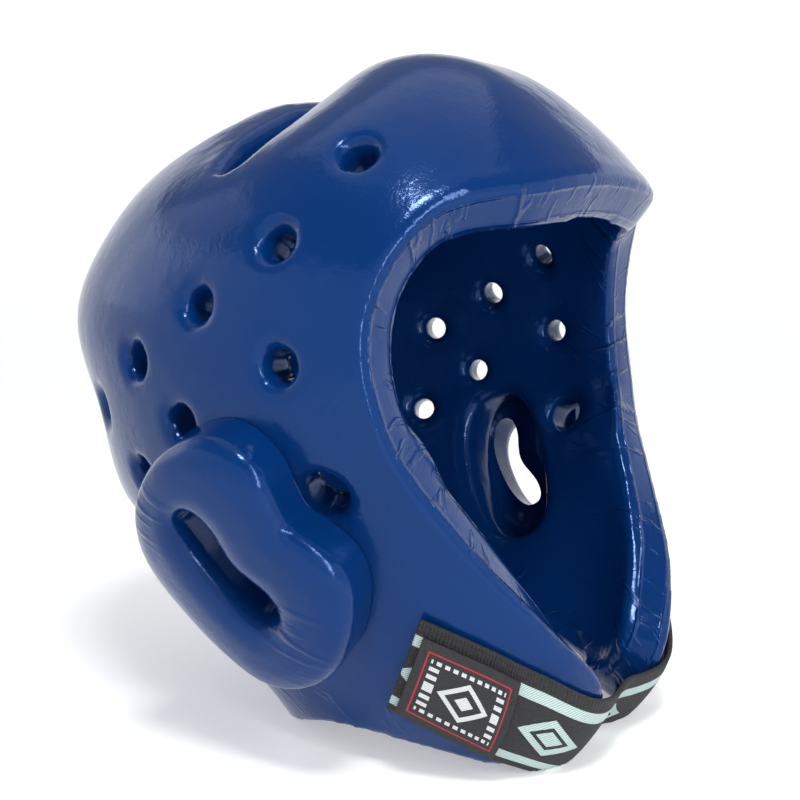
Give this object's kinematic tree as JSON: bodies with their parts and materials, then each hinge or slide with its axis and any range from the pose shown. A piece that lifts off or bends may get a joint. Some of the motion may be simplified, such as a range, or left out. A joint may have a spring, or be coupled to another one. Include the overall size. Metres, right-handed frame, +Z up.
{
  "type": "kickboxing head guard",
  "caption": "Open-face head guard of thick glossy dipped foam with vents, crown slots, raised ear pads and an elastic chin strap.",
  "frame": {"origin": "middle of the footprint on the floor that the guard stands on", "axes": "+X towards the wearer's left, -Y the way the face looks, +Z up; worn, the guard turns forward by 15.7 degrees about X"},
  "size_m": [0.256, 0.2366, 0.2518],
  "materials": {
    "blue_vinyl": "glossy dipped vinyl skin over closed-cell foam, fine orange peel",
    "black_webbing": "ribbed woven elastic with pale edge stripes",
    "black_label": "flat woven label with a thin border"
  },
  "bodies": {
    "root": {"foam_shell": "blue_vinyl", "ear_pad_right": "blue_vinyl", "ear_pad_left": "blue_vinyl", "chin_strap": "black_webbing", "woven_label": "black_label", "end_patch": "black_label"}
  },
  "joints": []
}
